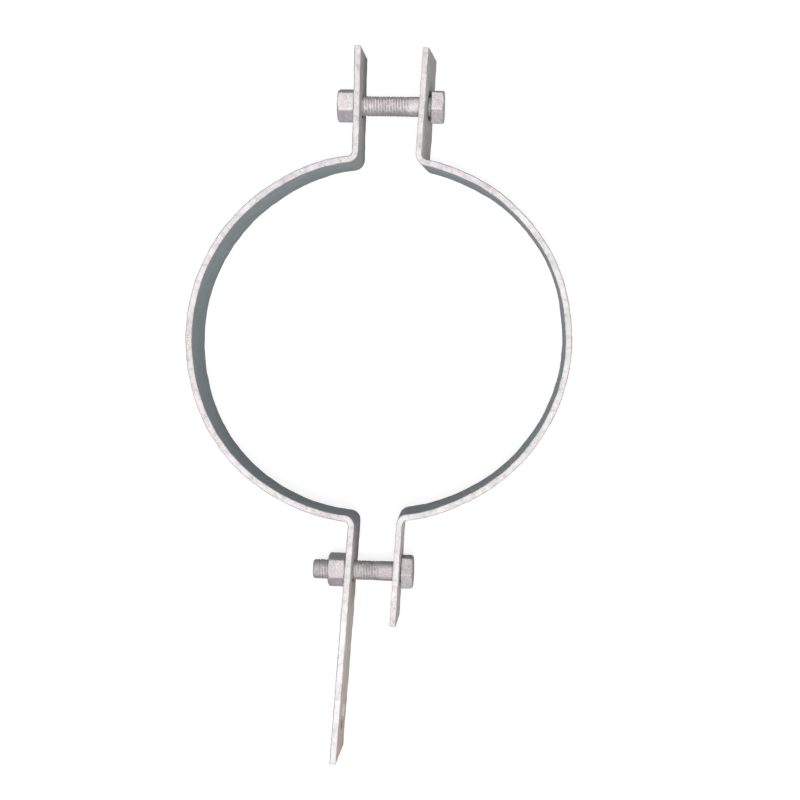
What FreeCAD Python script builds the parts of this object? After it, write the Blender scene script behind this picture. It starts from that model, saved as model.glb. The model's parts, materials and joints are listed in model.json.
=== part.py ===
import FreeCAD, Part
import math
import os

# Hoop clamp for a round post: two half hoops of flat bar, drawn together by two hex bolts through their ears.
# Millimetres and degrees. +Z runs along the post, +Y away from the tail, +X from the left half to the right.
# The origin is the centre of the left half's arc, at the middle of the bar's width.

# Post and flat bar
POST_D = 219.0
STRAP_T = 4.0
STRAP_W = 40.0
EDGE_BREAK = 0.5
BEND_R = 3.0

# Ears and tail
BOLT_OUT = 33.2
LEFT_INSET = 7.1
TAIL_INSET = 5.9
RIGHT_INSET = 12.1
LEFT_EAR_END = 34.5
RIGHT_EAR_END = 32.5
TAIL_END = 118.5
TAIL_LEAN = 3.1
TAIL_HOLE_D = 14.0
TAIL_HOLE_EDGE = 25.0

# Bolts and nuts
BOLT_D = 12.0
BOLT_LENGTH = 56.2
PLAIN_SHANK = 13.0
THREAD_PITCH = 1.75
THREAD_UNDERSIZE = 0.2
TIP_CHAMFER = 1.2
HEX_AF = 19.0
HEX_CHAMFER_INSET = 0.7
HEX_CHAMFER_ANGLE = 30.0
HEAD_H = 7.7
WASHER_FACE_INSET = 1.0
WASHER_FACE_H = 0.6
NUT_H = 11.4
NUT_MOUTH = 0.6

# Clearances and the margin that a cutting shape has beyond what it cuts
HOLE_CLEARANCE = 2.0
HOLE_RUN_GAP = 0.3
THREAD_GAP = 0.05
SEAT_GAP = 0.1
CUT_MARGIN = 1.0

# Loose assembly: how far the halves stand open, and how each piece is turned
OPEN_TURNS = 8
RIGHT_TURN = 2.3
TOP_HEAD_TURN = -12.0
TOP_NUT_TURN = -6.0
BOTTOM_HEAD_TURN = -26.0
BOTTOM_NUT_TURN = -11.0

# Sizes worked out from those above
ARC_R = POST_D / 2
BOLT_REACH = ARC_R + STRAP_T + BOLT_OUT
HOLE_D = BOLT_D + HOLE_CLEARANCE
THREAD_D = BOLT_D - THREAD_UNDERSIZE
NUT_BORE_D = THREAD_D + 2 * THREAD_GAP
HEX_CORNER_R = HEX_AF / 2 / math.cos(math.radians(30))
CHAMFER_CIRCLE_R = HEX_AF / 2 - HEX_CHAMFER_INSET
WASHER_FACE_R = HEX_AF / 2 - WASHER_FACE_INSET
OPEN_SHIFT = OPEN_TURNS * THREAD_PITCH

# The bolts ride up in the left half's holes, and the right half rides up on the bolts by as much again.
BOLT_RIDE = HOLE_CLEARANCE / 2 - HOLE_RUN_GAP
TURN_SLOPE = math.tan(math.radians(RIGHT_TURN))
TAIL_SLOPE = math.tan(math.radians(TAIL_LEAN))

X_AXIS = FreeCAD.Vector(1, 0, 0)
Z_AXIS = FreeCAD.Vector(0, 0, 1)
ORIGIN = FreeCAD.Vector(0, 0, 0)


class Ear:
    """One straight end of a half hoop, and its bend, with the centre of the hoop's arc at the origin."""

    def __init__(self, side, inset, reach, lean, end):
        lean = math.radians(lean)
        self.along = FreeCAD.Vector(-math.sin(lean), side * math.cos(lean), 0)
        self.outward = FreeCAD.Vector(-math.cos(lean), -side * math.sin(lean), 0)
        self.hole = FreeCAD.Vector(-inset, side * reach, 0)
        self.tip = self.hole + self.along * end
        self.bend = self.bend_centre()
        self.spoke = self.bend / self.bend.Length

    def bend_centre(self):
        offset = self.hole + self.outward * (STRAP_T + BEND_R)
        run = offset.dot(self.along)
        rest = (ARC_R + STRAP_T + BEND_R) ** 2 - offset.dot(offset)
        return offset + self.along * (math.sqrt(run * run + rest) - run)

    def bend_points(self, radius):
        middle = (self.spoke + self.outward) / (self.spoke + self.outward).Length
        return [self.bend - direction * radius for direction in (self.spoke, middle, self.outward)]


def line(start, end):
    return Part.LineSegment(start, end).toShape()


def arc(start, middle, end):
    return Part.Arc(start, middle, end).toShape()


def band_side(upper, lower, arc_r, bend_r, depth):
    """Edges of one side of the bar, from the upper tip to the lower tip."""
    upper_tip = upper.tip + upper.outward * depth
    lower_tip = lower.tip + lower.outward * depth
    upper_arc, upper_mid, upper_ear = upper.bend_points(bend_r)
    lower_arc, lower_mid, lower_ear = lower.bend_points(bend_r)
    return [
        line(upper_tip, upper_ear),
        arc(upper_ear, upper_mid, upper_arc),
        arc(upper_arc, FreeCAD.Vector(-arc_r, 0, 0), lower_arc),
        arc(lower_arc, lower_mid, lower_ear),
        line(lower_ear, lower_tip),
    ]


def drill(band, ear, from_hole, diameter):
    """Cuts a round hole square through an ear, at a distance along it from its bolt hole."""
    start = ear.hole + ear.along * from_hole - ear.outward * CUT_MARGIN
    return band.cut(Part.makeCylinder(diameter / 2, STRAP_T + 2 * CUT_MARGIN, start, ear.outward))


def half_band(upper, lower):
    """A half hoop on the -X side of its arc's centre, raised from its outline, with its long edges broken."""
    post_side = band_side(upper, lower, ARC_R, BEND_R + STRAP_T, 0)
    back_side = band_side(upper, lower, ARC_R + STRAP_T, BEND_R, STRAP_T)
    ends = [line(ear.tip, ear.tip + ear.outward * STRAP_T) for ear in (upper, lower)]
    outline = Part.Wire(Part.__sortEdges__(post_side + back_side + ends))
    band = Part.Face(outline).extrude(Z_AXIS * STRAP_W)
    band.translate(Z_AXIS * (-STRAP_W / 2))
    band = band.makeChamfer(EDGE_BREAK, long_edges(band))
    for ear in (upper, lower):
        band = drill(band, ear, 0, HOLE_D)
    return band


def long_edges(band):
    """The long edges of the bar: those in its two edge planes, apart from the sheared ends."""
    rims = [edge for edge in band.Edges if edge.BoundBox.ZLength < 1e-6]
    return [edge for edge in rims if abs(edge.Length - STRAP_T) > 1e-6]


def left_half_band():
    upper = Ear(1, LEFT_INSET, BOLT_REACH, 0, LEFT_EAR_END)
    tail = Ear(-1, TAIL_INSET, BOLT_REACH, TAIL_LEAN, TAIL_END)
    return drill(half_band(upper, tail), tail, TAIL_END - TAIL_HOLE_EDGE, TAIL_HOLE_D)


def right_half_band():
    reach = BOLT_REACH / math.cos(math.radians(RIGHT_TURN))
    band = half_band(*(Ear(side, RIGHT_INSET, reach, 0, RIGHT_EAR_END) for side in (1, -1)))
    pivot = FreeCAD.Vector(-RIGHT_INSET, 0, 0)
    band.rotate(pivot, Z_AXIS, 180 - RIGHT_TURN)
    band.translate(FreeCAD.Vector(OPEN_SHIFT + RIGHT_INSET, 2 * BOLT_RIDE, 0) - pivot)
    return band


def turned(outline):
    """A solid of revolution about the X axis, from points given as distance along the axis and radius."""
    points = [FreeCAD.Vector(x, r, 0) for x, r in outline]
    face = Part.Face(Part.makePolygon(points + points[:1]))
    return face.revolve(ORIGIN, X_AXIS, 360)


def hexagon(start, height):
    """A hexagonal prism along +X with a flat towards +Z."""
    corners = []
    for i in range(6):
        angle = math.radians(60 * i)
        around = FreeCAD.Vector(0, math.cos(angle), math.sin(angle))
        corners.append(X_AXIS * start + around * HEX_CORNER_R)
    return Part.Face(Part.makePolygon(corners + corners[:1])).extrude(X_AXIS * height)


def hex_chamfer():
    """Radius over the corners, and how far the chamfer cone drops along the axis from its circle to there."""
    over = HEX_CORNER_R + CUT_MARGIN
    return over, (over - CHAMFER_CIRCLE_R) * math.tan(math.radians(HEX_CHAMFER_ANGLE))


def bolt():
    """Hex bolt along X: the head's bearing face is at the origin, and the shank runs towards -X."""
    over, drop = hex_chamfer()
    crown = turned([(0, 0), (0, over), (HEAD_H - drop, over), (HEAD_H, CHAMFER_CIRCLE_R), (HEAD_H, 0)])
    head = hexagon(WASHER_FACE_H, HEAD_H - WASHER_FACE_H).common(crown)
    shank_r = BOLT_D / 2
    thread_r = THREAD_D / 2
    stem = turned([
        (WASHER_FACE_H, 0),
        (WASHER_FACE_H, WASHER_FACE_R),
        (0, WASHER_FACE_R),
        (0, shank_r),
        (-PLAIN_SHANK, shank_r),
        (-PLAIN_SHANK, thread_r),
        (TIP_CHAMFER - BOLT_LENGTH, thread_r),
        (-BOLT_LENGTH, thread_r - TIP_CHAMFER),
        (-BOLT_LENGTH, 0),
    ])
    return head.fuse(stem).removeSplitter()


def nut():
    """Hex nut along X: the bearing face is at the origin, and the nut reaches towards -X."""
    over, drop = hex_chamfer()
    blank = turned([
        (0, 0),
        (0, CHAMFER_CIRCLE_R),
        (-drop, over),
        (drop - NUT_H, over),
        (-NUT_H, CHAMFER_CIRCLE_R),
        (-NUT_H, 0),
    ])
    bore_r = NUT_BORE_D / 2
    mouth_r = bore_r + NUT_MOUTH
    bore = turned([
        (0, 0),
        (0, mouth_r),
        (-NUT_MOUTH, bore_r),
        (NUT_MOUTH - NUT_H, bore_r),
        (-NUT_H, mouth_r),
        (-NUT_H, 0),
    ])
    return hexagon(-NUT_H, NUT_H).common(blank).cut(bore)


def placed(shape, turn, x, y):
    shape.rotate(ORIGIN, X_AXIS, turn)
    shape.translate(FreeCAD.Vector(x, y, 0))
    return shape


def head_seat(side):
    """Where a bolt head first meets the outer face of the turned right half's ear."""
    gap_face = OPEN_SHIFT + RIGHT_INSET + (side * BOLT_REACH - BOLT_RIDE) * TURN_SLOPE
    outer_face = gap_face + STRAP_T / math.cos(math.radians(RIGHT_TURN))
    return outer_face + WASHER_FACE_R * TURN_SLOPE + SEAT_GAP


def nut_seat(inset, lean_slope):
    """Where a nut first meets the outer face of a left ear that leans by the given slope."""
    gap_face = -inset + BOLT_RIDE * lean_slope
    outer_face = gap_face - STRAP_T * math.sqrt(1 + lean_slope ** 2)
    return outer_face - CHAMFER_CIRCLE_R * lean_slope - SEAT_GAP


TOP_BOLT_Y = BOLT_REACH + BOLT_RIDE
BOTTOM_BOLT_Y = -BOLT_REACH + BOLT_RIDE

pieces = {
    "left_half_band": left_half_band(),
    "right_half_band": right_half_band(),
    "top_bolt": placed(bolt(), TOP_HEAD_TURN, head_seat(1), TOP_BOLT_Y),
    "bottom_bolt": placed(bolt(), BOTTOM_HEAD_TURN, head_seat(-1), BOTTOM_BOLT_Y),
    "top_nut": placed(nut(), TOP_NUT_TURN, nut_seat(LEFT_INSET, 0), TOP_BOLT_Y),
    "bottom_nut": placed(nut(), BOTTOM_NUT_TURN, nut_seat(TAIL_INSET, TAIL_SLOPE), BOTTOM_BOLT_Y),
}

os.makedirs("parts", exist_ok=True)
for name, shape in pieces.items():
    shape.exportStep("parts/" + name + ".step")
    state = "valid" if shape.isValid() else "NOT VALID"
    print(name, state, "solids", len(shape.Solids), "volume", round(shape.Volume, 1))
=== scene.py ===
# Hoop clamp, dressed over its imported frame. Metres, +Z up along the post, the same frame as the solids.
import json
import math
import bmesh
import bpy
from mathutils import Matrix, Vector, noise


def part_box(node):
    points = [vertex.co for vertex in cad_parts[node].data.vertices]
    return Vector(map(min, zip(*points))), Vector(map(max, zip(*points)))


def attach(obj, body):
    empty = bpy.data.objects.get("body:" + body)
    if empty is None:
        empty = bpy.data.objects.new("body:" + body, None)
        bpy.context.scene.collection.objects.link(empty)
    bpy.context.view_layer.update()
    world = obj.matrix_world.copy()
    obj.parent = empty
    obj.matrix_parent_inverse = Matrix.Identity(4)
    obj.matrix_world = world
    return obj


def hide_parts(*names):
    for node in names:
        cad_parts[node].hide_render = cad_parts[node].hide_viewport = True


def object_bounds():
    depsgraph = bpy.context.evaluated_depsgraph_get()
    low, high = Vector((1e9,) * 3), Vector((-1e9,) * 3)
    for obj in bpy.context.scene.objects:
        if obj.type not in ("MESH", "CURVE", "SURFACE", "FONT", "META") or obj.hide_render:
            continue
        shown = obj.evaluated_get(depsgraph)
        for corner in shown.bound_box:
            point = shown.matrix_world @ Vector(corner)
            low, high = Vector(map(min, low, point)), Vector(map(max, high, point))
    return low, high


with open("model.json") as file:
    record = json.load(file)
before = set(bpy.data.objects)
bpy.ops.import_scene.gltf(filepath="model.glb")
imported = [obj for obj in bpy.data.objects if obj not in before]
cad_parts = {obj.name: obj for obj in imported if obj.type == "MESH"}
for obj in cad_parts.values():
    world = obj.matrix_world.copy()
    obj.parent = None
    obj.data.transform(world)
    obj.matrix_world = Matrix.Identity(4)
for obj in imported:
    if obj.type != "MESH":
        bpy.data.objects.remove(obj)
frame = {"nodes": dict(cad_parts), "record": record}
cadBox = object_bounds()
mounts = {mount["name"]: mount for mount in frame["record"]["mounts"]}
scene = bpy.context.scene
print("frame loaded,", len(frame["nodes"]), "nodes")


# Mesh helpers

def ease(value, low, high):
    share = min(max((value - low) / (high - low), 0.0), 1.0)
    return share * share * (3 - 2 * share)


def softMin(a, b, blend):
    near = max(blend - abs(a - b), 0.0) / blend
    return min(a, b) - near * near * blend / 4


def steps(low, high, count):
    return [low + (high - low) * i / count for i in range(count + 1)]


def lumps(point, size, seed):
    # noise from about -1 to 1, read at another place for each seed
    return noise.noise(point / size + Vector((seed, 1.7 * seed, 2.3 * seed)))


def skinRings(name, rings, loop=False):
    # a mesh over a stack of closed rings, with a face at each end unless the stack is a loop
    shape = bmesh.new()
    rows = [[shape.verts.new(point) for point in ring] for ring in rings]
    for low, high in zip(rows, rows[1:] + (rows[:1] if loop else [])):
        for i in range(len(low)):
            j = (i + 1) % len(low)
            shape.faces.new((low[i], low[j], high[j], high[i]))
    if not loop:
        shape.faces.new(rows[0][::-1])
        shape.faces.new(rows[-1])
    bmesh.ops.recalc_face_normals(shape, faces=shape.faces)
    mesh = bpy.data.meshes.new(name)
    shape.to_mesh(mesh)
    shape.free()
    piece = bpy.data.objects.new(name, mesh)
    scene.collection.objects.link(piece)
    return piece


def mapCorners(piece, name, perVertex):
    # a named UV map from one (u, v) pair for each vertex
    layer = piece.data.uv_layers.new(name=name)
    layer.data.foreach_set("uv", [c for loop in piece.data.loops for c in perVertex[loop.vertex_index]])


def markVertices(piece, name, perVertex):
    # a named value for each vertex, read by the materials
    layer = piece.data.attributes.new(name, "FLOAT", "POINT")
    layer.data.foreach_set("value", perVertex)


def coatZinc(piece, coat, shareAt=None):
    # moves each vertex along its normal by lumps of several sizes, in full or by the share at that vertex
    moves = []
    for vertex in piece.data.vertices:
        rise = sum(height * lumps(vertex.co, size, coat["seed"] + i)
                   for i, (size, height) in enumerate(coat["waves"]))
        moves.append(vertex.normal * rise * (shareAt(vertex) if shareAt else 1.0))
    for vertex, move in zip(piece.data.vertices, moves):
        vertex.co += move


def smoothShade(piece, sharpAngle):
    piece.data.shade_smooth()
    piece.data.set_sharp_from_angle(angle=math.radians(sharpAngle))


def dress(piece, node, body, material):
    piece.data.materials.clear()
    piece.data.materials.append(material)
    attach(piece, body)
    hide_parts(node)
    print(node, "dressed,", len(piece.data.polygons), "faces")


# Shader helpers

def addNode(tree, kind, **settings):
    node = tree.nodes.new(kind)
    for key, value in settings.items():
        setattr(node, key, value)
    return node


def feed(tree, socket, value):
    # a link where the value is another node's socket, otherwise a set value
    if isinstance(value, bpy.types.NodeSocket):
        tree.links.new(value, socket)
    else:
        socket.default_value = value


def calc(tree, operation, a, b=0.0):
    node = addNode(tree, "ShaderNodeMath", operation=operation)
    feed(tree, node.inputs[0], a)
    feed(tree, node.inputs[1], b)
    return node.outputs[0]


def mixColours(tree, factor, a, b, blend="MIX"):
    # inputs 6 and 7 and output 2 are the node's colour sockets
    node = addNode(tree, "ShaderNodeMix", data_type="RGBA", blend_type=blend)
    feed(tree, node.inputs[0], factor)
    feed(tree, node.inputs[6], a)
    feed(tree, node.inputs[7], b)
    return node.outputs[2]


def remap(tree, value, fromLow, fromHigh, toLow=0.0, toHigh=1.0):
    node = addNode(tree, "ShaderNodeMapRange", interpolation_type="SMOOTHSTEP")
    for socket, setting in zip(node.inputs, (value, fromLow, fromHigh, toLow, toHigh)):
        feed(tree, socket, setting)
    return node.outputs[0]


def noiseAt(tree, vector, scale, detail=2.0, roughness=0.5):
    node = addNode(tree, "ShaderNodeTexNoise")
    for name, value in (("Vector", vector), ("Scale", scale), ("Detail", detail), ("Roughness", roughness)):
        feed(tree, node.inputs[name], value)
    return node.outputs["Fac"]


def splitVector(tree, vector):
    node = addNode(tree, "ShaderNodeSeparateXYZ")
    feed(tree, node.inputs[0], vector)
    return node.outputs


def uvPair(tree, name):
    return splitVector(tree, addNode(tree, "ShaderNodeUVMap", uv_map=name).outputs[0])[:2]


def vertexMark(tree, name):
    return addNode(tree, "ShaderNodeAttribute", attribute_name=name).outputs


def greyColour(tree, level):
    node = addNode(tree, "ShaderNodeCombineColor")
    for socket in node.inputs:
        feed(tree, socket, level)
    return node.outputs[0]


def newGroup(name, inputs, outputs):
    tree = bpy.data.node_groups.new(name, "ShaderNodeTree")
    kinds = {"value": "NodeSocketFloat", "colour": "NodeSocketColor", "vector": "NodeSocketVector"}
    for inOut, sockets in (("INPUT", inputs), ("OUTPUT", outputs)):
        for socketName, kind in sockets.items():
            tree.interface.new_socket(name=socketName, in_out=inOut, socket_type=kinds[kind])
    return tree, addNode(tree, "NodeGroupInput").outputs, addNode(tree, "NodeGroupOutput").inputs


def placeGroup(tree, group, **values):
    node = addNode(tree, "ShaderNodeGroup", node_tree=group)
    for name, value in values.items():
        feed(tree, node.inputs[name], value)
    return node.outputs


# Shared finishes: zinc mottle, zinc grain and specks

def mottleGroup():
    # cloudy patches and faint spangle that lighten and darken a zinc colour
    inputs = {"Vector": "vector", "Colour": "colour", "PatchScale": "value", "Amount": "value",
              "SpangleScale": "value", "Spangle": "value"}
    tree, given, out = newGroup("zincMottle", inputs, {"Colour": "colour", "Cloud": "value"})
    cloud = noiseAt(tree, given["Vector"], given["PatchScale"], detail=3.0, roughness=0.6)
    cells = addNode(tree, "ShaderNodeTexVoronoi")
    feed(tree, cells.inputs["Vector"], given["Vector"])
    feed(tree, cells.inputs["Scale"], given["SpangleScale"])
    cellValue = addNode(tree, "ShaderNodeSeparateColor")
    feed(tree, cellValue.inputs[0], cells.outputs["Color"])
    middle = 0.5
    cloudShift = calc(tree, "MULTIPLY", calc(tree, "SUBTRACT", cloud, middle), given["Amount"])
    cellShift = calc(tree, "MULTIPLY", calc(tree, "SUBTRACT", cellValue.outputs[0], middle), given["Spangle"])
    level = calc(tree, "ADD", 1.0, calc(tree, "ADD", cloudShift, cellShift))
    feed(tree, out["Colour"], mixColours(tree, 1.0, given["Colour"], greyColour(tree, level), "MULTIPLY"))
    feed(tree, out["Cloud"], cloud)
    return tree


def grainGroup():
    # fine and coarse pimples of the dipped coat, as a height and as a shade for the colour
    inputs = {"Vector": "vector", "FineScale": "value", "CoarseScale": "value", "CoarseShare": "value"}
    tree, given, out = newGroup("zincGrain", inputs, {"Height": "value", "Shade": "value"})
    fine = noiseAt(tree, given["Vector"], given["FineScale"], detail=3.0, roughness=0.65)
    coarse = noiseAt(tree, given["Vector"], given["CoarseScale"], detail=2.0, roughness=0.5)
    height = calc(tree, "ADD", fine, calc(tree, "MULTIPLY", coarse, given["CoarseShare"]))
    feed(tree, out["Height"], height)
    feed(tree, out["Shade"], remap(tree, fine, 0.3, 0.7))
    return tree


def speckGroup():
    # sparse specks of another colour
    inputs = {"Vector": "vector", "Colour": "colour", "Speck": "colour", "Scale": "value",
              "Coverage": "value"}
    tree, given, out = newGroup("zincSpecks", inputs, {"Colour": "colour"})
    field = noiseAt(tree, given["Vector"], given["Scale"], detail=4.0, roughness=0.7)
    rare, rarest = 0.80, 0.82  # levels that the noise seldom passes
    mask = remap(tree, field, calc(tree, "SUBTRACT", rare, given["Coverage"]), rarest)
    feed(tree, out["Colour"], mixColours(tree, mask, given["Colour"], given["Speck"]))
    return tree


zincMottle = mottleGroup()
zincGrain = grainGroup()
zincSpecks = speckGroup()
print("finish groups made")


def newMaterial(name):
    material = bpy.data.materials.new(name)
    material.use_nodes = True
    tree = material.node_tree
    shader = next(node for node in tree.nodes if node.type == "BSDF_PRINCIPLED")
    return material, tree, shader


def setShader(tree, shader, finish, colour, cloud, height):
    # the gloss goes by the mottle's cloud, and the bump by the grain's height
    feed(tree, shader.inputs["Base Color"], colour)
    feed(tree, shader.inputs["Roughness"], remap(tree, cloud, *finish["roughness"]))
    feed(tree, shader.inputs["Metallic"], remap(tree, cloud, *finish["metallic"]))
    shader.inputs["Specular IOR Level"].default_value = finish["specular"]
    bump = addNode(tree, "ShaderNodeBump")
    bump.inputs["Strength"].default_value = finish["bump"]["strength"]
    bump.inputs["Distance"].default_value = finish["bump"]["distance"]
    feed(tree, bump.inputs["Height"], height)
    feed(tree, shader.inputs["Normal"], bump.outputs[0])


# Flat bar that both halves are bent from

flatBar = {
    "width": 0.040,
    "thickness": 0.004,
    "cornerRound": 0.0008,      # rolled corner with the zinc on it
    "cornerSteps": 4,
    "endRound": 0.0005,         # sheared ends
    "bendInside": 0.003,
    "arcRadius": mounts["post_grip"]["dims"]["r_mm"] / 1000,
    "holeRadius": mounts["tail_hole"]["dims"]["r_mm"] / 1000,
    "holeFlare": 0.002,
    "holeSides": 64,
    "wallFade": 0.6,            # share of a hole's radius over which its upper wall turns to the lower one
    # a hole's lip, where its upper and lower walls stand on the bar map, and how far it is down the tail. The
    # place on the bar map gives the bolt holes' walls painted shade, and gives the tail hole a pale upper
    # wall as painted light over a lower wall with painted shade
    "boltHole": {"lip": 0.0004, "upperWall": -1.0, "lowerWall": -1.0, "toTip": 0.0},
    "tailHole": {"lip": 0.0011, "upperWall": 0.5, "lowerWall": -0.58, "toTip": 1.0},
    "step": 0.0011,             # mesh length along the bar
    "bendStep": 0.0006,
    "faceStep": 0.0022,         # mesh width across the bar
    "colourFade": 0.022,        # length of an ear over which the ring's colour runs out
    "skewFade": 0.05,           # length of the arc over which an ear's skew runs out
    "bowFade": (0.008, 0.03),   # from here to here along an ear, the arc's bow runs out
    "cutFade": 0.02,
    "coat": {"seed": 3.0, "waves": ((0.016, 0.00007), (0.006, 0.00005), (0.0025, 0.00003))},
    "beads": {"seed": 11.0, "waves": ((0.007, 0.00022), (0.0028, 0.00011))},
    "beadReach": 0.003,         # width of a face, from its edge, that the beads spread over
    "plainSeat": (0.0125, 0.0165),  # the coat rises from nothing between these distances from a bolt
    "shadedSeat": (0.0085, 0.0105),  # painted shade under a head or nut runs out between these
    "stainCore": 0.3,           # share of a stain's reach that is full
    "sharpAngle": 38.0,
}

# A noise is its scale, detail and roughness. A pair is where a share rises from 0 to 1, and where two more
# numbers follow, it goes from the one to the other
strapFinish = {
    "edge": (0.825, 0.787, 0.795, 1),
    "tailEdge": {"colour": (0.93, 0.89, 0.905, 1), "toTip": (0.2, 0.5)},
    # how the zinc of an edge wanders over the corner
    "run": {"fine": (420.0, 3.0, 0.6), "broad": (90.0, 1.0), "middle": 1.0, "reach": 0.0011, "depth": 0.001,
            "seam": (0.00035, 0.00055)},
    "patch": {"colour": (0.685, 0.640, 0.655, 1), "noise": (310.0, 4.0, 0.6), "range": (0.50, 0.64),
              "toTip": (0.15, 0.4, 1.0, 0.5)},
    "pits": {"noise": (1000.0, 2.0), "range": (0.64, 0.72, 0.0, 0.6)},  # in the rust's colour
    "stain": {"colour": (0.64, 0.53, 0.505, 1), "noise": (850.0, 3.0), "range": (0.47, 0.62)},
    # a thin line of painted shade on the outer corners, and how it breaks up
    "rim": {"colour": (0.34, 0.335, 0.345, 1), "width": (-0.0012, -0.0005),
            "breaks": (0.75, 1.15, 0.55, 1.0)},
    # rusty runs where an edge meets the post's side
    "amber": {"Speck": (0.93, 0.60, 0.26, 1), "Scale": 520.0, "Coverage": 0.16},
    "amberSide": (0.42, 0.25),
    # painted shade and a painted reflection in the slate inside the ring, painted light in the paler outside
    # and tail
    "ears": (0.695, 0.670, 0.660, 1),
    "ring": (0.395, 0.460, 0.478, 1),
    "tail": {"colour": (0.895, 0.800, 0.765, 1), "toTip": (0.10, 0.45)},
    "tailTip": {"colour": (0.88, 0.715, 0.630, 1), "toTip": (0.72, 0.95)},
    "outside": (0.86, 0.845, 0.835, 1),
    "outerSide": (0.3, 0.7),
    # rolling streaks along the bar, and painted shade that deepens to the lower edge, with a little painted
    # light towards the upper one
    "streak": {"along": 30.0, "across": 420.0, "noise": (1.0, 3.0, 0.6), "middle": 0.5, "amount": 0.34},
    "shade": (-0.02, 0.02, 0.90, 1.08),
    # spatters of zinc on the faces
    "fleck": {"Speck": (0.74, 0.76, 0.76, 1), "Scale": 610.0, "Coverage": 0.17},
    # painted shade along the lower edge, down the ears' inner sides, in the bolt holes and under the heads
    # and nuts
    "paintedShade": {"colour": (0.18, 0.18, 0.185, 1), "lowerEdge": (-0.0170, -0.0195, 0.0, 0.7),
              "earOnArc": (1.0, 0.4), "earToTip": (0.35, 0.12), "earSide": (0.3, 0.1),
              "earUp": (0.006, -0.0185, 0.0, 0.65), "holeWall": (-0.4, -0.8), "seatSide": (0.6, 0.9)},
    "rust": {"Speck": (0.50, 0.33, 0.27, 1), "Scale": 230.0, "Coverage": 0.05},
    "mottle": {"PatchScale": 90.0, "Amount": 0.36, "SpangleScale": 150.0, "Spangle": 0.13},
    "grain": {"FineScale": 1400.0, "CoarseScale": 320.0, "CoarseShare": 0.8},
    "roughness": (0.2, 0.8, 0.56, 0.72),
    "metallic": (0.3, 0.7, 0.02, 0.08),
    "specular": 0.12,
    "bump": {"strength": 0.25, "distance": 0.0002},
}


class BarSurface:
    # what a bar's colours go by: places along and through it, and the line between edge and face
    def __init__(self, tree):
        run, twiceThick = strapFinish["run"], 2 * flatBar["thickness"]
        self.where = addNode(tree, "ShaderNodeTexCoord").outputs["Object"]
        self.up = splitVector(tree, self.where)[2]
        self.along, self.through = uvPair(tree, "barMap")
        self.onArc, self.toTip = uvPair(tree, "ringMap")

        # a point is on a face where it lies over twice as far from the edge as from that face; the zinc's run
        # moves this line to and fro
        fine, broad = (noiseAt(tree, self.where, *run[size]) for size in ("fine", "broad"))
        self.ran = calc(tree, "ADD", fine, broad)
        wander = calc(tree, "MULTIPLY", calc(tree, "SUBTRACT", self.ran, run["middle"]), run["reach"])
        fromEdge = calc(tree, "SUBTRACT", flatBar["width"] / 2, calc(tree, "ABSOLUTE", self.up))
        fromEdge = calc(tree, "ADD", calc(tree, "MINIMUM", fromEdge, run["depth"]), wander)
        fromPost = calc(tree, "MULTIPLY", self.through, twiceThick)
        pastPost = calc(tree, "SUBTRACT", fromEdge, fromPost)
        self.pastBack = calc(tree, "SUBTRACT", calc(tree, "ADD", fromEdge, fromPost), twiceThick)
        self.onFace = remap(tree, calc(tree, "MAXIMUM", pastPost, self.pastBack), *run["seam"])


def edgeColour(tree, bar):
    # pale zinc with darker patches, fine pits, stains, a rim of painted shade, and amber specks along the
    # post's side
    tail = strapFinish["tailEdge"]
    patch, pits, stain, rim = (strapFinish[key] for key in ("patch", "pits", "stain", "rim"))
    edge = mixColours(tree, remap(tree, bar.toTip, *tail["toTip"]), strapFinish["edge"], tail["colour"])
    patchShare = remap(tree, noiseAt(tree, bar.where, *patch["noise"]), *patch["range"])
    patchShare = calc(tree, "MULTIPLY", patchShare, remap(tree, bar.toTip, *patch["toTip"]))
    edge = mixColours(tree, patchShare, edge, patch["colour"])
    pitShare = remap(tree, noiseAt(tree, bar.where, *pits["noise"]), *pits["range"])
    edge = mixColours(tree, pitShare, edge, strapFinish["rust"]["Speck"])
    smear = remap(tree, noiseAt(tree, bar.where, *stain["noise"]), *stain["range"])
    smear = calc(tree, "MULTIPLY", vertexMark(tree, "stain")["Fac"], smear)
    edge = mixColours(tree, smear, edge, stain["colour"])
    # painted shade along the outer corner, broken up by the zinc's run
    rimShadeShare = remap(tree, bar.pastBack, *rim["width"])
    rimShadeShare = calc(tree, "MULTIPLY", rimShadeShare, remap(tree, bar.ran, *rim["breaks"]))
    edge = mixColours(tree, rimShadeShare, edge, rim["colour"])
    amber = placeGroup(tree, zincSpecks, Vector=bar.where, Colour=edge, **strapFinish["amber"])
    return mixColours(tree, remap(tree, bar.through, *strapFinish["amberSide"]), edge, amber["Colour"])


def streakLevel(tree, bar):
    streak = strapFinish["streak"]
    drawn = addNode(tree, "ShaderNodeCombineXYZ")
    feed(tree, drawn.inputs[0], calc(tree, "MULTIPLY", bar.along, streak["along"]))
    feed(tree, drawn.inputs[1], calc(tree, "MULTIPLY", bar.up, streak["across"]))
    level = calc(tree, "SUBTRACT", noiseAt(tree, drawn.outputs[0], *streak["noise"]), streak["middle"])
    return calc(tree, "MULTIPLY", level, streak["amount"])


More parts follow.
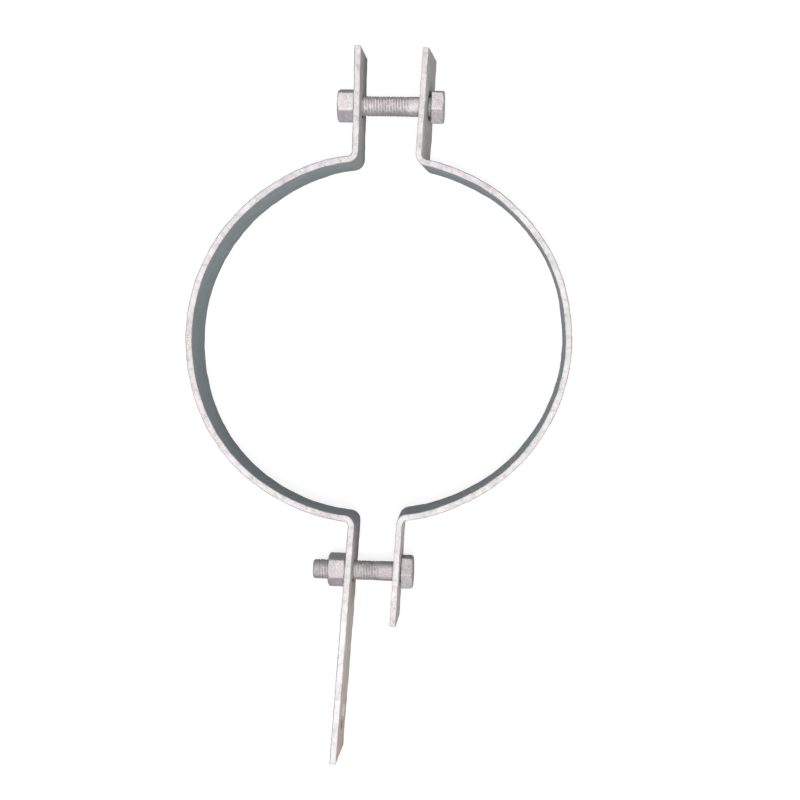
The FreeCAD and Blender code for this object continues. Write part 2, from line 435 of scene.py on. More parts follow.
# painted shade: how far a face is darkened along the lower edge, down the ears' inner sides, in the bolt
# holes and under the heads and nuts
def paintedShadeShare(tree, bar):
    paintedShade = strapFinish["paintedShade"]
    earInside = calc(tree, "MULTIPLY", remap(tree, bar.onArc, *paintedShade["earOnArc"]),
                     remap(tree, bar.toTip, *paintedShade["earToTip"]))
    earInside = calc(tree, "MULTIPLY", earInside, remap(tree, bar.through, *paintedShade["earSide"]))
    onEars = calc(tree, "MULTIPLY", earInside, remap(tree, bar.up, *paintedShade["earUp"]))
    inHoles = remap(tree, bar.through, *paintedShade["holeWall"])
    onSeats = calc(tree, "MULTIPLY", vertexMark(tree, "seat")["Fac"],
                   remap(tree, bar.through, *paintedShade["seatSide"]))
    share = remap(tree, bar.up, *paintedShade["lowerEdge"])
    for other in (onEars, inHoles, onSeats):
        share = calc(tree, "MAXIMUM", share, other)
    return share


def faceColour(tree, bar):
    # painted shade and a painted reflection in the slate blue round the post, greyer on the ears, painted
    # light on the paler outside and tail, warmer to the tail's tip, with streaks, flecks and painted shade
    face = mixColours(tree, bar.onArc, strapFinish["ears"], strapFinish["ring"])
    for key in ("tail", "tailTip"):
        tail = strapFinish[key]
        face = mixColours(tree, remap(tree, bar.toTip, *tail["toTip"]), face, tail["colour"])
    outside = mixColours(tree, bar.onArc, strapFinish["ears"], strapFinish["outside"])
    face = mixColours(tree, remap(tree, bar.through, *strapFinish["outerSide"]), face, outside)
    # the streaks, and painted shade darker towards the lower edge and a little painted light towards the
    # upper one
    level = calc(tree, "ADD", streakLevel(tree, bar), remap(tree, bar.up, *strapFinish["shade"]))
    face = mixColours(tree, 1.0, face, greyColour(tree, level), "MULTIPLY")
    flecked = placeGroup(tree, zincSpecks, Vector=bar.where, Colour=face, **strapFinish["fleck"])
    # the faces darkened by the painted shade
    return mixColours(tree, paintedShadeShare(tree, bar), flecked["Colour"], strapFinish["paintedShade"]["colour"])


def strapMaterial():
    material, tree, shader = newMaterial("galvanisedStrap")
    bar = BarSurface(tree)
    colour = mixColours(tree, bar.onFace, edgeColour(tree, bar), faceColour(tree, bar))
    mottled = placeGroup(tree, zincMottle, Vector=bar.where, Colour=colour, **strapFinish["mottle"])
    specked = placeGroup(tree, zincSpecks, Vector=bar.where, Colour=mottled["Colour"], **strapFinish["rust"])
    grain = placeGroup(tree, zincGrain, Vector=bar.where, **strapFinish["grain"])
    setShader(tree, shader, strapFinish, specked["Colour"], mottled["Cloud"], grain["Height"])
    return material


fastenerFinish = {
    "topLight": {"colour": (0.90, 0.84, 0.855, 1), "facingUp": (0.60, 0.97)},  # painted light: paler on what faces up
    # painted shade: the darker colour of what faces sideways
    "side": (0.515, 0.50, 0.52, 1),
    "pitted": (0.68, 0.67, 0.675, 1),
    # painted shade and dirt in the thread roots
    "root": {"colour": (0.40, 0.385, 0.395, 1), "share": 0.75},
    # painted shade under the heads, where the root mark passes 1
    "paintedShade": {"colour": (0.14, 0.14, 0.145, 1), "range": (1.2, 1.8)},
    "rust": {"Speck": (0.50, 0.38, 0.33, 1), "Scale": 420.0, "Coverage": 0.05},
    "mottle": {"PatchScale": 160.0, "Amount": 0.40, "SpangleScale": 700.0, "Spangle": 0.12},
    "grain": {"FineScale": 1300.0, "CoarseScale": 420.0, "CoarseShare": 0.9},
    "roughness": (0.2, 0.8, 0.50, 0.68),
    "metallic": (0.3, 0.7, 0.03, 0.10),
    "specular": 0.15,
    "bump": {"strength": 0.45, "distance": 0.0003},
}


def fastenerMaterial():
    material, tree, shader = newMaterial("galvanisedFastener")
    topLight, root, paintedShade = (fastenerFinish[key] for key in ("topLight", "root", "paintedShade"))
    surface = addNode(tree, "ShaderNodeTexCoord").outputs
    where, facingUp = surface["Object"], splitVector(tree, surface["Normal"])[2]
    shadeAndDirtMark, tone = vertexMark(tree, "cavityShadeAndDirt")["Fac"], vertexMark(tree, "tone")["Color"]
    grain = placeGroup(tree, zincGrain, Vector=where, **fastenerFinish["grain"])
    # painted light on what faces up, painted shade on what faces sideways
    topLightShare = remap(tree, facingUp, *topLight["facingUp"])
    colour = mixColours(tree, topLightShare, fastenerFinish["side"], topLight["colour"])
    colour = mixColours(tree, 1.0, colour, tone, "MULTIPLY")
    pitted = mixColours(tree, 1.0, colour, fastenerFinish["pitted"], "MULTIPLY")
    colour = mixColours(tree, grain["Shade"], pitted, colour)
    # painted shade and dirt in the thread roots, and painted shade over the neck and washer face
    colour = mixColours(tree, calc(tree, "MULTIPLY", shadeAndDirtMark, root["share"]), colour, root["colour"])
    mottled = placeGroup(tree, zincMottle, Vector=where, Colour=colour, **fastenerFinish["mottle"])
    specked = placeGroup(tree, zincSpecks, Vector=where, Colour=mottled["Colour"], **fastenerFinish["rust"])
    # painted shade under the heads
    seated = mixColours(tree, remap(tree, shadeAndDirtMark, *paintedShade["range"]), specked["Colour"], paintedShade["colour"])
    setShader(tree, shader, fastenerFinish, seated, mottled["Cloud"], grain["Height"])
    return material


galvanisedStrap = strapMaterial()
galvanisedFastener = fastenerMaterial()
print("materials made")


# The two halves: the bar's section, and the line that it follows from the upper tip round to the lower tip

leftHalf = {
    "node": "left_half_band",
    "body": "left_half",
    # degrees turned about the pivot, which then goes to its place
    "turn": 0.0,
    "pivot": (0.0, 0.0),
    "place": (0.0, 0.0),
    # an end's side, its bolt hole beside and along from the arc's centre, its lean, its length past the hole,
    # and the degrees that it is skewed by about a line along it at the hinge's height
    "upper": {"side": 1, "inset": 0.0071, "reach": 0.1467, "lean": 0.0, "end": 0.0345,
              "skew": -1.3, "hinge": 0.0095},
    "lower": {"side": -1, "inset": 0.0059, "reach": 0.1467, "lean": 3.1, "end": 0.1185,
              "skew": -1.2, "hinge": 0.0095},
    "extraHole": 0.0935,    # along the tail from its bolt hole
    "tail": True,
    "cut": 0.0008,          # how much longer the tail is at the front edge than at mid width
    # brown stains on the edges: x, y and reach
    "stains": ((-0.1125, -0.002, 0.009), (-0.111, 0.010, 0.003), (-0.0233, -0.110, 0.010),
               (-0.0068, 0.1235, 0.004), (-0.0071, 0.1638, 0.002), (-0.0167, 0.1096, 0.004),
               (-0.0138, -0.174, 0.003), (-0.0204, -0.229, 0.006)),
    # how far the front and the back edge stand off the true arc, in mm, at degrees round from the upper end
    "bow": ((0, 0.7, 0.7), (31, -0.7, -1.2), (83, -0.7, -1.2), (125, 0.5, 1.0), (148, -0.1, 0.9),
            (166, 0.2, 0.5)),
}

rightHalf = {
    "node": "right_half_band",
    "body": "right_half",
    # turned nearly half round, so what is its upper end here lies below
    "turn": 177.7,
    "pivot": (-0.0121, 0.0),
    "place": (0.0261, 0.0014),
    "upper": {"side": 1, "inset": 0.0121, "reach": 0.14682, "lean": 0.0, "end": 0.0325,
              "skew": 0.0, "hinge": 0.0},
    "lower": {"side": -1, "inset": 0.0121, "reach": 0.14682, "lean": 0.0, "end": 0.0325,
              "skew": 5.0, "hinge": -0.0095},
    "extraHole": None,
    "tail": False,
    "cut": 0.0,
    "stains": ((0.117, -0.0407, 0.004), (0.0158, -0.1646, 0.003), (0.0176, -0.1236, 0.003),
               (0.076, 0.091, 0.003)),
    "bow": ((0, 0.7, -0.4), (20, -0.5, -1.4), (41, -0.3, -1.2), (74, -0.2, -0.3), (90, -0.6, -0.3),
            (108, -0.4, 0.7), (130, -1.1, 0.2), (150, -1.0, -1.0), (162, -0.9, -0.7)),
}


def barSection():
    # ring of (through, across, throughOut, acrossOut, bead share); through is negative on the post's side
    halves = (flatBar["thickness"] / 2, flatBar["width"] / 2)
    r, turns = flatBar["cornerRound"], flatBar["cornerSteps"]
    ring = []
    for k, out in enumerate(((-1, 0), (0, 1), (1, 0), (0, -1))):
        run = (out[1], -out[0])
        outHalf, runHalf = halves[k % 2], halves[1 - k % 2]
        count = max(3, round(2 * (runHalf - r) / flatBar["faceStep"]))
        for i in range(count + 1):
            t = (runHalf - r) * (2 * i / count - 1)
            bead = ease(abs(t), runHalf - flatBar["beadReach"], runHalf - r) if k % 2 == 0 else 1.0
            ring.append((out[0] * outHalf + run[0] * t, out[1] * outHalf + run[1] * t, *out, bead))
        centre = [out[axis] * (outHalf - r) + run[axis] * (runHalf - r) for axis in (0, 1)]
        for i in range(1, turns):
            angle = math.radians(90 * i / turns)
            normal = [out[axis] * math.cos(angle) + run[axis] * math.sin(angle) for axis in (0, 1)]
            ring.append((centre[0] + normal[0] * r, centre[1] + normal[1] * r, *normal, 1.0))
    return ring


class Ear:
    # one straight end of a half hoop in the half's own plane: its line, outer side, bolt hole and bend
    def __init__(self, sizes):
        lean, side = math.radians(sizes["lean"]), sizes["side"]
        self.along = Vector((-math.sin(lean), side * math.cos(lean)))
        self.outward = Vector((-math.cos(lean), -side * math.sin(lean)))
        self.hole = Vector((-sizes["inset"], side * sizes["reach"]))
        self.end = sizes["end"]
        self.slope, self.hinge = -math.tan(math.radians(sizes["skew"])), sizes["hinge"]
        inside = flatBar["thickness"] + flatBar["bendInside"]
        offset = self.hole + self.outward * inside
        run = offset.dot(self.along)
        rest = (flatBar["arcRadius"] + inside) ** 2 - offset.dot(offset)
        self.bend = offset + self.along * (math.sqrt(run * run + rest) - run)
        self.spoke = self.bend.normalized()
        self.start = (self.bend - self.hole).dot(self.along)

    def stations(self):
        # mid-line points from the bend to the tip, drawn in at the end for the sheared edge's round
        middle = self.hole + self.outward * flatBar["thickness"] / 2
        r = flatBar["endRound"]
        count = round((self.end - r - self.start) / flatBar["step"])
        lengths = [(length, 0.0) for length in steps(self.start, self.end - r, count)]
        for degrees in (30, 60, 90):
            sin, cos = math.sin(math.radians(degrees)), math.cos(math.radians(degrees))
            lengths.append((self.end - r * (1 - sin), r * (1 - cos)))
        return [(middle + self.along * t, self.outward, inset) for t, inset in lengths]


def sweep(centre, radius, fromDirection, toDirection, step):
    # mid-line points round an arc by the shorter way, without the first; outward is away from the centre
    first = math.atan2(fromDirection.y, fromDirection.x)
    turn = math.remainder(math.atan2(toDirection.y, toDirection.x) - first, 2 * math.pi)
    count = max(4, round(abs(turn * radius) / step))
    angles = [first + turn * i / count for i in range(1, count + 1)]
    directions = [Vector((math.cos(a), math.sin(a))) for a in angles]
    return [(centre + out * radius, out, 0.0) for out in directions]


def bowAt(bow, degrees):
    # front and back stand-off between the given places, eased from one to the next
    for (low, *before), (high, *after) in zip(bow, bow[1:]):
        if degrees <= high:
            break
    share = ease(degrees, low, high)
    return [(a + (b - a) * share) / 1000 for a, b in zip(before, after)]


class BarLine:
    # a half hoop's stations in the frame, and its holes
    def __init__(self, half):
        self.half = half
        self.upper, self.lower = Ear(half["upper"]), Ear(half["lower"])
        self.arcLine = flatBar["arcRadius"] + flatBar["thickness"] / 2
        first, arc, last = self.midLine()
        self.stations = []
        self.length, before = 0.0, None
        for point, outward, inset in first + arc + last:
            self.length += (point - before).length if before else 0.0
            before = point
            self.stations.append({"point": self.placed(point), "outward": self.turned(outward),
                                  "inset": inset, "length": self.length})
        self.arcFrom = self.stations[len(first)]["length"]
        self.arcTo = self.stations[len(first) + len(arc)]["length"]
        for i, station in enumerate(self.stations):
            outArc = arc[min(max(i - len(first), 0), len(arc) - 1)][1]
            self.setShares(station)
            self.setOffsets(station, self.turned(outArc))
        self.holes = [(*self.holeAt(ear, 0.0), flatBar["boltHole"]) for ear in (self.upper, self.lower)]
        self.bolts = [centre for centre, *_ in self.holes]
        if half["extraHole"]:
            self.holes.append((*self.holeAt(self.lower, half["extraHole"]), flatBar["tailHole"]))

    def midLine(self):
        upper, lower, bendStep = self.upper, self.lower, flatBar["bendStep"]
        bendLine = -(flatBar["bendInside"] + flatBar["thickness"] / 2)
        upperBend = sweep(upper.bend, bendLine, upper.outward, upper.spoke, bendStep)
        arc = sweep(Vector((0, 0)), self.arcLine, upper.spoke, lower.spoke, flatBar["step"])
        lowerBend = sweep(lower.bend, bendLine, lower.spoke, lower.outward, bendStep)
        return upper.stations()[::-1] + upperBend, arc, lowerBend[:-1] + lower.stations()

    def setShares(self, station):
        # the shares that the colour goes by
        s, fade = station["length"], flatBar["colourFade"]
        pastUpper = ease(s, self.arcFrom - fade, self.arcFrom)
        pastLower = ease(s, self.arcTo, self.arcTo + fade)
        station["onArc"] = pastUpper * (1 - pastLower)
        onTail = max(s - self.arcTo, 0.0) / (self.length - self.arcTo)
        station["toTip"] = onTail if self.half["tail"] else 0.0

    def setOffsets(self, station, outArc):
        # what moves the bar off its true line: the ears' skew, the arc's bow and the tail's slanted cut
        s, half, fade = station["length"], self.half, flatBar["skewFade"]
        nearUpper = 1 - ease(s, self.arcFrom, self.arcFrom + fade)
        nearLower = ease(s, self.arcTo - fade, self.arcTo)
        ear = self.upper if nearUpper else self.lower
        station["slope"] = self.turned(ear.outward) * ear.slope * (nearUpper or nearLower)
        station["hinge"] = ear.hinge
        nearTip = ease(s, self.length - flatBar["cutFade"], self.length)
        station["cut"] = self.turned(self.lower.along) * half["cut"] * nearTip
        offArc = max(self.arcFrom - s, s - self.arcTo, 0.0)
        degrees = math.degrees((min(max(s, self.arcFrom), self.arcTo) - self.arcFrom) / self.arcLine)
        bowShare = 1 - ease(offArc, *flatBar["bowFade"])
        station["bow"] = [outArc * off * bowShare for off in bowAt(half["bow"], degrees)]

    def turned(self, direction):
        return Matrix.Rotation(math.radians(self.half["turn"]), 2) @ direction

    def placed(self, point):
        return self.turned(point - Vector(self.half["pivot"])) + Vector(self.half["place"])

    def holeAt(self, ear, fromBolt):
        # a hole's centre at mid thickness, and its axis square to the skewed ear
        middle = self.placed(ear.hole + ear.along * fromBolt + ear.outward * flatBar["thickness"] / 2)
        outward = self.turned(ear.outward)
        middle -= outward * ear.slope * ear.hinge
        return Vector((*middle, 0)), Vector((*outward, -ear.slope)).normalized()


def barPoint(station, through, across):
    # a section point, with the skew, the bow and the cut added
    front, back = station["bow"]
    share = across / flatBar["width"] + 0.5
    flat = station["point"] + station["outward"] * through + station["slope"] * (across - station["hinge"])
    flat += front * share + back * (1 - share) + station["cut"] * (2 * share - 1)
    return Vector((flat.x, flat.y, across))


def holeCutter(centre, axis, finish):
    # a drill with a flare at each face, so that the hole has a lip
    half, r, lip = flatBar["thickness"] / 2, flatBar["holeRadius"], finish["lip"]
    flare, sides = flatBar["holeFlare"], flatBar["holeSides"]
    mouth = r + lip + flare
    side = axis.orthogonal().normalized()
    other = axis.cross(side)
    turns = [2 * math.pi * i / sides for i in range(sides)]
    rings = []
    for t, radius in ((-half - flare, mouth), (lip - half, r), (half - lip, r), (half + flare, mouth)):
        rings.append([centre + axis * t + (side * math.cos(a) + other * math.sin(a)) * radius for a in turns])
    cutter = skinRings("holeCutter", rings)
    # the walls' places on the bar map set their painted light and painted shade
    upper, lower = finish["upperWall"], finish["lowerWall"]
    low = [ease(centre.y - vertex.co.y, 0.0, flatBar["wallFade"] * r) for vertex in cutter.data.vertices]
    mapCorners(cutter, "barMap", [(0.0, upper + (lower - upper) * share) for share in low])
    mapCorners(cutter, "ringMap", [(0.0, finish["toTip"])] * len(cutter.data.vertices))
    return cutter


def drillHole(piece, hole):
    cutter = holeCutter(*hole)
    cut = piece.modifiers.new("hole", "BOOLEAN")
    cut.operation, cut.solver, cut.object = "DIFFERENCE", "EXACT", cutter
    drilled = bpy.data.meshes.new_from_object(piece.evaluated_get(bpy.context.evaluated_depsgraph_get()))
    piece.modifiers.clear()
    piece.data = drilled
    bpy.data.objects.remove(cutter)


def sweepBar(name, barLine):
    # the bar without holes, and the bead share of each vertex
    section = barSection()
    rings, beadShare, barUv, ringUv = [], [], [], []
    for station in barLine.stations:
        inset = station["inset"]
        rings.append([barPoint(station, t - nt * inset, a - na * inset) for t, a, nt, na, _ in section])
        beadShare += [bead for *_, bead in section]
        barUv += [(station["length"], t / flatBar["thickness"] + 0.5) for t, *_ in section]
        ringUv += [(station["onArc"], station["toTip"])] * len(section)
    piece = skinRings(name, rings)
    mapCorners(piece, "barMap", barUv)
    mapCorners(piece, "ringMap", ringUv)
    return piece, beadShare


def makeHalf(half):
    barLine = BarLine(half)
    piece, beadShare = sweepBar(half["node"] + "_dressed", barLine)
    stains = [(Vector((x, y)), reach) for x, y, reach in half["stains"]]

    def fromBolt(vertex):
        return min((vertex.co - centre).length for centre in barLine.bolts)

    def coatShare(vertex):
        return ease(fromBolt(vertex), *flatBar["plainSeat"])

    def stainShare(vertex):
        core = flatBar["stainCore"]
        return max(1 - ease((vertex.co.xy - spot).length, core * reach, reach) for spot, reach in stains)

    coatZinc(piece, flatBar["coat"], coatShare)
    coatZinc(piece, flatBar["beads"], lambda vertex: coatShare(vertex) * beadShare[vertex.index])
    for hole in barLine.holes:
        drillHole(piece, hole)
    vertices = piece.data.vertices
    # painted shade on the faces round each bolt, under the heads and nuts
    markVertices(piece, "seat", [1 - ease(fromBolt(vertex), *flatBar["shadedSeat"]) for vertex in vertices])
    markVertices(piece, "stain", [stainShare(vertex) for vertex in vertices])
    smoothShade(piece, flatBar["sharpAngle"])
    dress(piece, half["node"], half["body"], galvanisedStrap)


for half in (leftHalf, rightHalf):
    makeHalf(half)


# Hex bolts and nuts along X, made as rings round their own axis

fastener = {
    "cornerBlend": 0.0004,
    "chamferInset": 0.0007,
    "chamferAngle": 30.0,
    "chamferBlend": 0.0004,
    "endStep": 0.0001,          # from an end of a hexagon to its first ring
    "segments": 120,
    "crest": 0.0062,
    "threadDepth": 0.0005,      # shallow, as zinc fills the roots
    "rootSharpness": 1.6,       # above 1, the roots are narrower than the crests
    # zinc that fills the thread here and there
    "clog": {"seed": 34.0, "size": 0.0021, "share": 0.6, "range": (-0.1, 0.45)},
    "pitch": 0.00175,
    "rowsPerPitch": 10,
    "coat": {"seed": 21.0, "waves": ((0.005, 0.00006), (0.0018, 0.00004))},
    "sharpAngle": 50.0,
}

hexBolt = {
    "acrossFlats": 0.0196,      # over the zinc
    "length": 0.0562,
    "shank": 0.0062,
    "plain": 0.013,
    "runOut": 0.003,            # the thread ends over this length
    "plainStep": 0.001,         # from the thread to the first ring of the plain shank
    "plainRows": 8,
    "tipChamfer": 0.0012,
    "tipBlend": 0.0004,
    "tipDome": 0.0003,
    "tipRings": (0.08, 0.35, 0.65, 0.9),
    # the neck's plain end, where its painted shade begins, and root marks past 1 for the painted shade
    "neck": {"plainEnd": 0.0030, "paintedShadeFrom": 0.0020, "neckMark": 1.35, "seatMark": 1.45},
    "underHead": 0.0004,        # fillet
    "cornerTrim": 0.0,
    "washerRadius": 0.0085,
    "washerHeight": 0.0002,
    "washerProfile": ((0.0, -0.0006), (0.4, -0.0001), (0.6, 0.0), (1.0, 0.0001)),  # share of height, radius
    "seatInset": 0.0004,
    "seatChamfer": {"start": 0.0016, "slope": 4.0},  # barely cuts the corners on the ear's side
    "rows": 26,
    "faceRings": (0.95, 0.75, 0.5, 0.25, 0.05),
    # turn of each head, its height, and how much lighter (above 1) or darker its colour is made
    "bolts": {
        "top_bolt": {"turn": -15.5, "head": 0.0081, "tone": 1.06},
        "bottom_bolt": {"turn": -26.0, "head": 0.0077, "tone": 0.84},
    },
    "body": "right_half",
}

hexNut = {
    "acrossFlats": 0.0191,
    "height": 0.0114,
    "cornerTrim": 0.0003,       # zinc rounds the corners more than on the heads
    "bore": 0.0063,
    "mouth": 0.0006,
    "threadGroove": 0.0005,
    "faceInset": 0.0004,
    "faceSteps": 3,
    "rows": 34,
    "nuts": {"top_nut": {"turn": -9.0, "tone": 1.10}, "bottom_nut": {"turn": -11.0, "tone": 0.92}},
}


def hexRadius(hexagon, theta):
    # half across flats at zero, rounded at the corners
    flat = hexagon["acrossFlats"] / 2
    away = math.remainder(theta, math.pi / 3)
    corner = flat / math.cos(math.pi / 6) - hexagon["cornerTrim"]
    return softMin(flat / math.cos(away), corner, fastener["cornerBlend"])


def chamferRadius(hexagon, fromEnd):
    circle = hexagon["acrossFlats"] / 2 - fastener["chamferInset"]
    return circle + fromEnd / math.tan(math.radians(fastener["chamferAngle"]))


def hexRing(work, hexagon, x, fromEnd):
    # one ring of a head or nut, cut by the chamfer near an end
    cone = chamferRadius(hexagon, fromEnd)
    work.ring(x, lambda theta: softMin(hexRadius(hexagon, theta), cone, fastener["chamferBlend"]))


def threadShare(x, theta):
    # 0 on the crest and 1 in the root of a right-hand thread along +X
    wave = 0.5 - 0.5 * math.cos(2 * math.pi * x / fastener["pitch"] - theta)
    return wave ** fastener["rootSharpness"]


def clogged(x, theta):
    # how far zinc fills the thread at a place on the shank
    clog, r = fastener["clog"], fastener["crest"]
    spot = Vector((x, r * math.cos(theta), r * math.sin(theta)))
    return clog["share"] * ease(lumps(spot, clog["size"], clog["seed"]), *clog["range"])


class Turning:
    # collects rings round the X axis, with a thread root mark for each point
    def __init__(self, centre, turn):
        self.centre, self.turn = Vector(centre), math.radians(turn)
        self.rings, self.roots = [], []

    def ring(self, x, radiusAt, rootAt=0.0):
        points = []
        for i in range(fastener["segments"]):
            theta = 2 * math.pi * i / fastener["segments"]
            angle = theta + self.turn
            spoke = Vector((0, -math.sin(angle), math.cos(angle)))
            radius = radiusAt(theta) if callable(radiusAt) else radiusAt
            points.append(self.centre + Vector((x, 0, 0)) + spoke * radius)
            self.roots.append(rootAt(theta) if callable(rootAt) else rootAt)
        self.rings.append(points)

    def makePiece(self, node, body, tone, loop=False):
        piece = skinRings(node + "_dressed", self.rings, loop)
        # the root mark gives painted shade and dirt in the thread roots, and painted shade under the head
        markVertices(piece, "cavityShadeAndDirt", self.roots)
        markVertices(piece, "tone", [tone] * len(self.roots))
        coatZinc(piece, fastener["coat"])
        smoothShade(piece, fastener["sharpAngle"])
        dress(piece, node, body, galvanisedFastener)


def turnShank(work):
    # the bolt from its tip: a low dome, the thread with its chamfered start, and the plain shank
    tip, threadEnd = -hexBolt["length"], -hexBolt["plain"]
    crest, shank = fastener["crest"], hexBolt["shank"]
    tipRadius = crest - hexBolt["tipChamfer"]
    for share in hexBolt["tipRings"]:
        work.ring(tip + hexBolt["tipDome"] * share, tipRadius * share)
    rowStep = fastener["pitch"] / fastener["rowsPerPitch"]
    for x in steps(tip, threadEnd, round((threadEnd - tip) / rowStep))[1:]:
        cone = tipRadius + (x - tip)
        cutShare = 1 - ease(x, threadEnd - hexBolt["runOut"], threadEnd)
        outer = crest + (shank - crest) * (1 - cutShare)

        def rootAt(theta):
            return cutShare * threadShare(x, theta) * (1 - clogged(x, theta))

        def radiusAt(theta):
            return softMin(outer - fastener["threadDepth"] * rootAt(theta), cone, hexBolt["tipBlend"])

        work.ring(x, radiusAt, rootAt)
    for x in steps(threadEnd + hexBolt["plainStep"], -hexBolt["neck"]["plainEnd"], hexBolt["plainRows"]):
        work.ring(x, shank)


def turnNeck(work):
    # under the head: a neck with painted shade and a small fillet, and the washer face, also with painted
    # shade
    shank, neck, fillet = hexBolt["shank"], hexBolt["neck"], hexBolt["underHead"]
    for x in (-neck["paintedShadeFrom"], -fillet):
        work.ring(x, shank, neck["neckMark"])
    for degrees in (30, 60):
        turn = math.radians(degrees)
        work.ring(-fillet * math.cos(turn), shank + fillet * (1 - math.sin(turn)), neck["neckMark"])
    washer, lift = hexBolt["washerRadius"], hexBolt["washerHeight"]
    for share, offset in hexBolt["washerProfile"]:
        work.ring(lift * share, washer + offset, neck["seatMark"])
    work.ring(lift, lambda theta: hexRadius(hexBolt, theta) - hexBolt["seatInset"], neck["seatMark"])


def turnHead(work, head):
    lift, endStep, seat = hexBolt["washerHeight"], fastener["endStep"], hexBolt["seatChamfer"]
    for x in steps(lift + endStep, head - endStep, hexBolt["rows"]):
        hexRing(work, hexBolt, x, min(head - x, seat["slope"] * (x - lift) + seat["start"]))
    for share in hexBolt["faceRings"]:
        work.ring(head, chamferRadius(hexBolt, 0) * share)


def makeBolt(node, bolt):
    low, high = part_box(node)
    work = Turning((low.x + hexBolt["length"], (low.y + high.y) / 2, 0), bolt["turn"])
    turnShank(work)
    turnNeck(work)
    turnHead(work, bolt["head"])
    work.makePiece(node, hexBolt["body"], bolt["tone"])


def makeNut(node, nut):
    low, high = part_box(node)
    work = Turning((high.x, (low.y + high.y) / 2, 0), nut["turn"])
    tall, bore, mouth, endStep = hexNut["height"], hexNut["bore"], hexNut["mouth"], fastener["endStep"]
    faceEdge = chamferRadius(hexNut, 0) - hexNut["faceInset"]
    for radius in steps(bore + mouth, faceEdge, hexNut["faceSteps"]):
        work.ring(0, radius)
    for x in steps(-endStep, endStep - tall, hexNut["rows"]):
        hexRing(work, hexNut, x, min(-x, tall + x))
    for radius in steps(faceEdge, bore + mouth, hexNut["faceSteps"]):
        work.ring(-tall, radius)
    rows = round((tall - 2 * mouth) / fastener["pitch"] * fastener["rowsPerPitch"])
    for x in steps(mouth - tall, -mouth, rows):

        def rootAt(theta):
            return 1 - threadShare(x, theta)

        work.ring(x, lambda theta: bore + hexNut["threadGroove"] * rootAt(theta), rootAt)
    work.makePiece(node, node, nut["tone"], loop=True)


for node, bolt in hexBolt["bolts"].items():
    makeBolt(node, bolt)
for node, nut in hexNut["nuts"].items():
    makeNut(node, nut)


# Floor, light and camera

studio = {
    "floorSize": 6.0,
    "floorGap": 0.0006,         # below the part's lowest point
    "floorColour": (0.19, 0.19, 0.19, 1),
    "glow": 0.86,               # how white the floor shows near the part, before the light that falls on it
    "glowReach": (0.5, 1.6),    # over these distances the glow rises to white
    "shade": (0.20, 0.20, 0.20, 1),  # how strongly the floor shows that light and the shadow in it
    "ambient": (0.86, 0.93, 0.92, 1),
    "ambientLevel": 0.079,
    "backdrop": (1, 1, 1, 1),
    "lamps": {
        "key": {"at": (0.05, -0.28, 2.2), "size": 0.7, "power": 41.0, "colour": (1.0, 0.98, 0.98)},
        "right": {"at": (1.1, -0.75, 0.5), "size": 0.6, "power": 3.25, "colour": (1.0, 0.99, 0.97)},
        "left": {"at": (-1.2, -0.4, 0.5), "size": 0.6, "power": 2.6, "colour": (0.97, 0.98, 1.0)},
    },
}


def pickSeen(tree, lighting, seen, outputKind):
    # one shader for what the camera sees straight, in a gloss or through glass, another for all other light
    path = addNode(tree, "ShaderNodeLightPath").outputs
    direct = calc(tree, "MAXIMUM", path["Is Camera Ray"], path["Is Glossy Ray"])
    direct = calc(tree, "MAXIMUM", direct, path["Is Transmission Ray"])
    pick = addNode(tree, "ShaderNodeMixShader")
    for socket, value in zip(pick.inputs, (direct, lighting.outputs[0], seen.outputs[0])):
        feed(tree, socket, value)
    feed(tree, addNode(tree, outputKind).inputs["Surface"], pick.outputs[0])


def emptyTree(holder):
    holder.use_nodes = True
    holder.node_tree.nodes.clear()
    return holder.node_tree


def floorMaterial():
    material = bpy.data.materials.new("paleFloor")
    tree = emptyTree(material)
    plain = addNode(tree, "ShaderNodeBsdfDiffuse")
    plain.inputs["Color"].default_value = studio["floorColour"]
    shadowed = addNode(tree, "ShaderNodeBsdfDiffuse")
    shadowed.inputs["Color"].default_value = studio["shade"]
    away = addNode(tree, "ShaderNodeVectorMath", operation="LENGTH")
    feed(tree, away.inputs[0], addNode(tree, "ShaderNodeTexCoord").outputs["Object"])
    glow = addNode(tree, "ShaderNodeEmission")
    glowLevel = remap(tree, away.outputs["Value"], *studio["glowReach"], studio["glow"], 1.0)
    feed(tree, glow.inputs["Strength"], glowLevel)
    white = addNode(tree, "ShaderNodeAddShader")
    feed(tree, white.inputs[0], shadowed.outputs[0])
    feed(tree, white.inputs[1], glow.outputs[0])
    pickSeen(tree, plain, white, "ShaderNodeOutputMaterial")
    return material


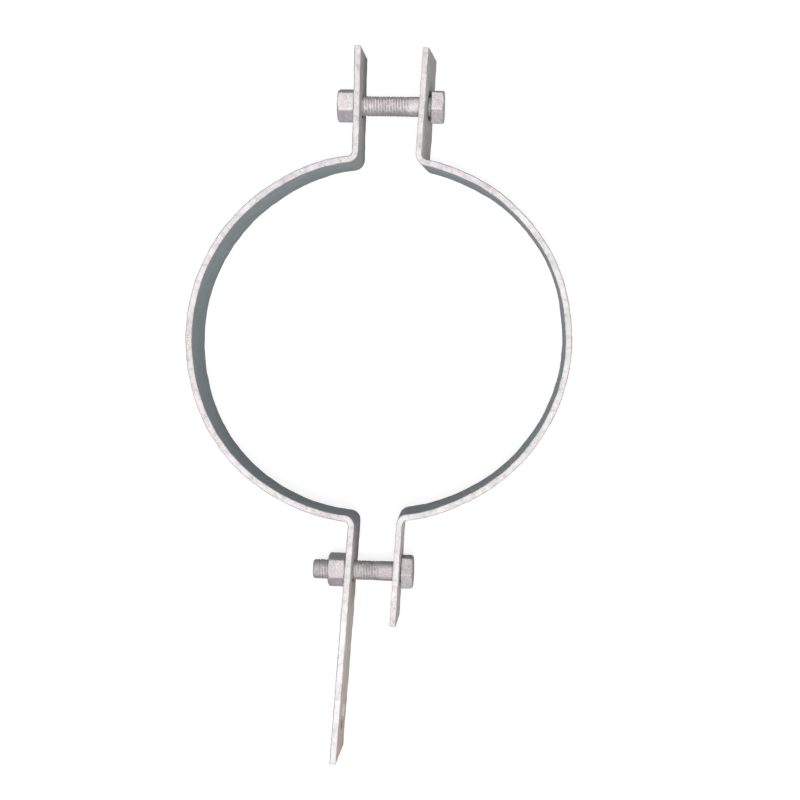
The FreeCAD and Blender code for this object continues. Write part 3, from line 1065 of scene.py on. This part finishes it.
def makeFloor():
    shape = bmesh.new()
    bmesh.ops.create_grid(shape, x_segments=1, y_segments=1, size=studio["floorSize"] / 2)
    mesh = bpy.data.meshes.new("studioFloor")
    shape.to_mesh(mesh)
    shape.free()
    floor = bpy.data.objects.new("studioFloor", mesh)
    floor.location.z = cadBox[0][2] - studio["floorGap"]
    scene.collection.objects.link(floor)
    mesh.materials.append(floorMaterial())


def makeWorld():
    world = bpy.data.worlds.new("studioWorld")
    scene.world = world
    tree = emptyTree(world)
    ambient = addNode(tree, "ShaderNodeBackground")
    ambient.inputs["Color"].default_value = studio["ambient"]
    ambient.inputs["Strength"].default_value = studio["ambientLevel"]
    backdrop = addNode(tree, "ShaderNodeBackground")
    backdrop.inputs["Color"].default_value = studio["backdrop"]
    pickSeen(tree, ambient, backdrop, "ShaderNodeOutputWorld")


def makeLamps():
    for name, lamp in studio["lamps"].items():
        light = bpy.data.lights.new(name, "AREA")
        light.size, light.energy, light.color = lamp["size"], lamp["power"], lamp["colour"]
        holder = bpy.data.objects.new(name, light)
        holder.location = lamp["at"]
        holder.rotation_euler = (-Vector(lamp["at"])).to_track_quat("-Z", "Y").to_euler()
        scene.collection.objects.link(holder)


view = {
    "at": (0.07047, -0.01104, 0.8843),
    "aim": (0.02101, -0.03717, 0.0),
    "roll": 1.406,
    "lens": 63.0,
    "sensor": 36.0,
}


def makeCamera():
    lens = bpy.data.cameras.new("photoView")
    lens.lens, lens.sensor_width = view["lens"], view["sensor"]
    camera = bpy.data.objects.new("photoView", lens)
    back = (Vector(view["at"]) - Vector(view["aim"])).normalized()
    right = Vector((0, 1, 0)).cross(back).normalized()
    axes = Matrix((right, back.cross(right), back)).transposed()
    spin = Matrix.Rotation(math.radians(view["roll"]), 3, "Z")
    camera.matrix_world = Matrix.Translation(view["at"]) @ (axes @ spin).to_4x4()
    scene.collection.objects.link(camera)
    scene.camera = camera


makeFloor()
makeWorld()
makeLamps()
makeCamera()
scene.view_settings.view_transform = "Standard"
print("floor, light and camera set")
